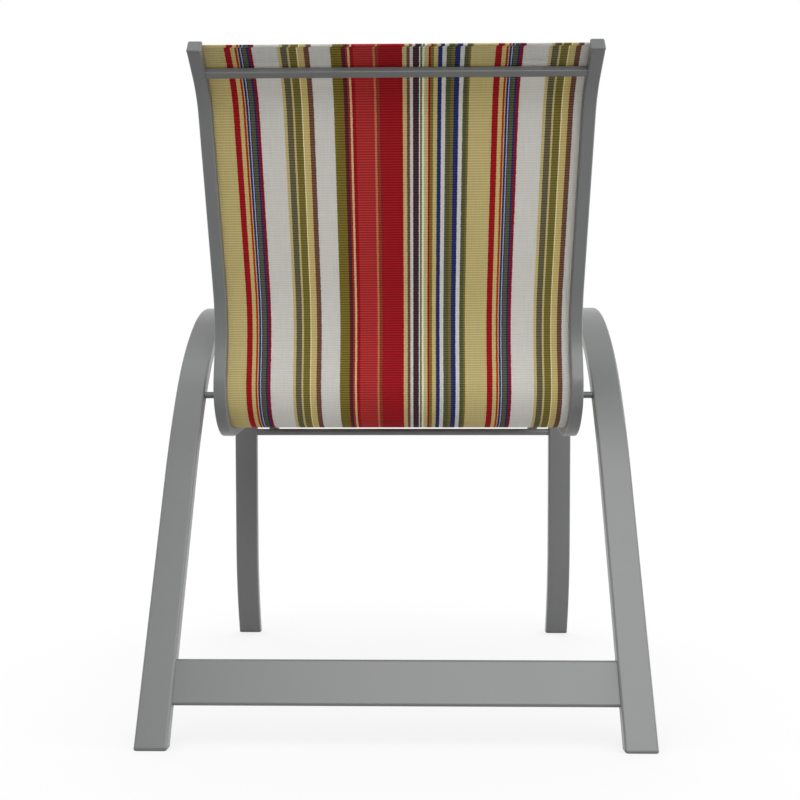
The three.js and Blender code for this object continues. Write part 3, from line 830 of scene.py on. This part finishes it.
hem_half = rail_inner - hem_side_gap
turn_radius = layer_step / 2
fold_radius = layer_step
fold_reach = fold_radius + cloth_thickness / 2
fold_start = rail_top + along(flare_heading, sling_top_inset + fold_reach)
raw_edge = (
    fold_start
    + square_to(flare_heading, layer_step)
    + along(flare_heading, hem_length - turn_in_length)
)
cloth = Bar(raw_edge, flare_heading + 2 * math.pi)
flat_line = [(hem_half * (1 - 2 * column / columns), 0) for column in range(columns + 1)]
for vert, (x, _) in zip(cloth.lay(flat_line, closed=False), flat_line):
    vert[cloth.across] = -x
cloth.run(turn_in_length)
cloth.bend(turn_radius, flare_heading + math.pi)
cloth.run(hem_length)
cloth.bend(fold_radius, flare_heading)
fold_end = cloth.reach
turn_length = 2 * math.pi * sleeve_radius * (360 - sleeve_start) / 360
sleeve_across = channel_line - sleeve_radius
for sign in (1, -1):
    edge_vert = next(
        vert for edge in cloth.front for vert in edge.verts if abs(vert.co.x - sign * hem_half) < same_place
    )
    loop = arc(channel_line, 0, sleeve_radius, 180, -180 + sleeve_start, sleeve_steps)
    loop_verts = cloth.lay([(sign * x, n) for x, n in loop], closed=False)
    cloth.front.append(cloth.mesh.edges.new((edge_vert, loop_verts[0])))
    for step, vert in enumerate(loop_verts):
        vert[cloth.across] = -sign * (sleeve_across + turn_length * step / sleeve_steps)
cloth.run(skew_run)
follow_sling_line(cloth, sling_top_inset + fold_reach + skew_run, sling_front_inset + fold_reach)
cloth.front = [
    edge for edge in cloth.front if all(abs(vert.co.x) < hem_half + same_place for vert in edge.verts)
]
cloth.bend(fold_radius, 2 * math.pi)
cloth.run(hem_length)
cloth.bend(turn_radius, 3 * math.pi)
cloth.run(turn_in_length)

texture = cloth.mesh.loops.layers.uv.new("cloth")
for face in cloth.mesh.faces:
    for loop in face.loops:
        reach = loop.vert[cloth.along]
        skew = hem_skew if reach < fold_end + skew_run / 2 else 0
        loop[texture].uv = (loop.vert[cloth.across] - skew, reach)
sling = finish_piece("striped_sling", cloth.mesh, sling_material(), ["sling"])
body_cloth = sling.modifiers.new("cloth_thickness", "SOLIDIFY")
body_cloth.thickness = cloth_thickness
body_cloth.offset = 0

# Splines
# A round rod of natural nylon is slid down each sleeve of the sling, and locks it in the keyhole channel
# of its rail. Its plain solid is right as it is.
spline_nylon = skinned_material(
    "spline_nylon", from_screen(216, 216, 212), roughness=0.5, peel_size=0.002, peel_depth=0.00002,
    tone_spread=0.04,
)


def repaint(node, material):
    """Gives a solid of the frame its finish."""
    node.data.materials.clear()
    node.data.materials.append(material)


for side, _ in sides:
    repaint(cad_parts[f"sling_spline_{side}"], spline_nylon)

# Rail caps
# A moulded nylon cap closes each end of a rail, and is held by a tongue pushed into the bolt chamber.
# Its outer edges are rounded.
moulded_grey = skinned_material(
    "moulded_grey_nylon", from_screen(97, 99, 98), roughness=0.45, peel_size=0.0011,
    peel_depth=0.00003, tone_spread=0.05,
)
cap_thickness = 0.0025
cap_rise = 0.0023
cap_run = 0.0025
cap_tongue = 0.009
cap_overhang = 0.0003
dome_steps = 6


def domed_block(width, depth, height, corner, run, rise):
    """A block on the XY plane with round corners, whose top turns over in an elliptical rim."""
    mesh = bmesh.new()
    bmesh.ops.create_cube(mesh, size=1)
    bmesh.ops.translate(mesh, verts=mesh.verts, vec=(0, 0, 0.5))
    bmesh.ops.scale(mesh, verts=mesh.verts, vec=(width, depth, height - rise))
    upright = [edge for edge in mesh.edges if abs(edge.verts[0].co.z - edge.verts[1].co.z) > 0]
    bmesh.ops.bevel(
        mesh, geom=upright, offset=corner, offset_type="OFFSET", affect="EDGES", segments=corner_steps,
        profile=0.5, material=-1,
    )
    top = max(mesh.faces, key=lambda face: face.calc_center_median().z)
    half_width, half_depth, reached = width / 2, depth / 2, 0
    for step in range(1, dome_steps + 1):
        angle = math.pi / 2 * step / dome_steps
        made = bmesh.ops.extrude_face_region(mesh, geom=[top])["geom"]
        ring = [part for part in made if isinstance(part, bmesh.types.BMVert)]
        top = next(part for part in made if isinstance(part, bmesh.types.BMFace))
        inset = run * (1 - math.cos(angle))
        narrowed = ((width / 2 - inset) / half_width, (depth / 2 - inset) / half_depth, 1)
        bmesh.ops.scale(mesh, verts=ring, vec=narrowed)
        bmesh.ops.translate(mesh, verts=ring, vec=(0, 0, rise * math.sin(angle) - reached))
        half_width, half_depth, reached = width / 2 - inset, depth / 2 - inset, rise * math.sin(angle)
    return mesh


def place_block(mesh, origin, across, along_depth, outward):
    """Moves a block from the XY plane to its seat, by its three directions."""
    turn = Matrix((across, along_depth, outward)).transposed()
    bmesh.ops.rotate(mesh, verts=mesh.verts, cent=(0, 0, 0), matrix=turn)
    bmesh.ops.translate(mesh, verts=mesh.verts, vec=origin)


rail_depth = rail_behind + rail_ahead
rail_bottom = Vector((0, heel_y - nose_forward, rail_end_height))
cap_seats = {
    "top": (rail_top, flare_heading, -1),
    "front": (rail_bottom, math.pi, 1),
}
tongue_width = rail_outer - rail_wall - channel_line - channel_radius - channel_wall - 2 * fit_gap
tongue_x = rail_outer - rail_wall - fit_gap - tongue_width / 2 - (rail_inner + rail_outer) / 2
for end, (seat, heading, facing) in cap_seats.items():
    normal = square_to(heading, 1)
    outward = along(heading, facing)
    middle = seat + normal * (rail_ahead - rail_behind) / 2 + outward * close_gap
    for side, sign in sides:
        cap = domed_block(
            rail_outer - rail_inner + 2 * cap_overhang, rail_depth + 2 * cap_overhang, cap_thickness,
            rail_corner, cap_run, cap_rise,
        )
        tongue = bmesh.ops.create_cube(cap, size=1)["verts"]
        bmesh.ops.scale(
            cap, verts=tongue, vec=(tongue_width, rail_depth - 2 * rail_wall - 2 * fit_gap, cap_tongue)
        )
        bmesh.ops.translate(
            cap, verts=tongue, vec=(sign * tongue_x, 0, (cap_thickness - cap_rise - cap_tongue) / 2)
        )
        seat_point = middle + Vector((sign * (rail_inner + rail_outer) / 2, 0, 0))
        across = normal.cross(outward)
        place_block(cap, seat_point, Vector((1, 0, 0)), normal * across.x, outward)
        cap_piece = finish_piece(
            f"end_cap_{end}_{side}", cap, moulded_grey, [f"rail_cap_{end}_{side}"]
        )
        even_shading(cap_piece)

# Foot glides
# A moulded nylon shoe under each tube end keeps the metal off the floor, held by a stub in the tube.
# Its lower rim is rounded, so that it slides.
glide_height = 0.0032
glide_rim = 0.0024
glide_stub = 0.014
foot_seats = {
    "rear": (side_point(tube_depth / 2 / math.cos(rear_leg_lean), 0), rear_leg_lean, 1),
    "front": (front_foot, foot_heading, -1),
}
for end, (foot, heading, up) in foot_seats.items():
    shoe_depth = tube_depth / abs(math.cos(heading))
    rise = along(heading, up)
    for side, sign in sides:
        glide = domed_block(tube_width, shoe_depth, glide_height, tube_corner, glide_rim, glide_rim)
        bmesh.ops.scale(glide, verts=glide.verts, vec=(1, 1, -1))
        bmesh.ops.translate(glide, verts=glide.verts, vec=(0, 0, glide_height))
        stub = bmesh.ops.create_cube(glide, size=1)["verts"]
        bmesh.ops.translate(glide, verts=stub, vec=(0, 0, 0.5))
        stub_width = tube_width - 2 * tube_wall - 2 * fit_gap
        stub_depth = (tube_depth - 2 * tube_wall - 2 * fit_gap) / abs(math.cos(heading))
        bmesh.ops.scale(glide, verts=stub, vec=(stub_width, stub_depth, glide_stub))
        bmesh.ops.translate(glide, verts=stub, vec=(0, 0, glide_height / 2))
        lean = rise / rise.z
        for vert in glide.verts:
            vert.co += Vector((0, lean.y, 0)) * vert.co.z
        bmesh.ops.translate(glide, verts=glide.verts, vec=(sign * leg_centre, foot.y, 0))
        glide_piece = finish_piece(
            f"foot_shoe_{end}_{side}", glide, moulded_grey, [f"glide_{end}_{side}"]
        )
        even_shading(glide_piece)

# Joint spacers
# A short sleeve of dark nylon, turned from rod with its rims broken, is slipped over each joint bolt and
# holds the rail off the leg.
dark_nylon = skinned_material(
    "dark_nylon", from_screen(86, 88, 87), roughness=0.4, peel_size=0.0011, peel_depth=0.00002,
    tone_spread=0.04,
)
spacer_radius = 0.0045
spacer_edge = 0.0004
spacer_segments = 40
spacer_edge_steps = 3
for end, place in joint_places.items():
    for side, sign in sides:
        spacer = bmesh.new()
        bmesh.ops.create_cone(
            spacer, cap_ends=True, segments=spacer_segments, radius1=spacer_radius, radius2=spacer_radius,
            depth=leg_inner_face - rail_outer,
        )
        rims = [edge for edge in spacer.edges if abs(edge.verts[0].co.z - edge.verts[1].co.z) < spacer_edge]
        bmesh.ops.bevel(
            spacer, geom=rims, offset=spacer_edge, offset_type="OFFSET", affect="EDGES",
            segments=spacer_edge_steps, profile=0.5, material=-1,
        )
        bmesh.ops.rotate(spacer, verts=spacer.verts, cent=(0, 0, 0), matrix=across_turn)
        middle_x = sign * (leg_inner_face + rail_outer) / 2
        bmesh.ops.translate(spacer, verts=spacer.verts, vec=(middle_x, place.y, place.z))
        spacer_piece = finish_piece(
            f"joint_sleeve_{end}_{side}", spacer, dark_nylon, [f"spacer_{end}_{side}"]
        )
        even_shading(spacer_piece)

# Fasteners
# Zinc plated steel bolts and nuts tie the rails to the legs, and a plug and a screw hold each end of the
# brace. Small moulded plugs close the access holes. Their plain solids are right as they are.
zinc = skinned_material(
    "bright_zinc", from_screen(185, 187, 189), roughness=0.35, peel_size=0.0008, peel_depth=0.00001,
    tone_spread=0.06, metallic=1.0,
)
for name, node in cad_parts.items():
    if name.startswith(("joint_bolt", "rail_nut", "brace_screw", "brace_plug")):
        repaint(node, zinc)
    if name.startswith("hole_plug"):
        repaint(node, moulded_grey)
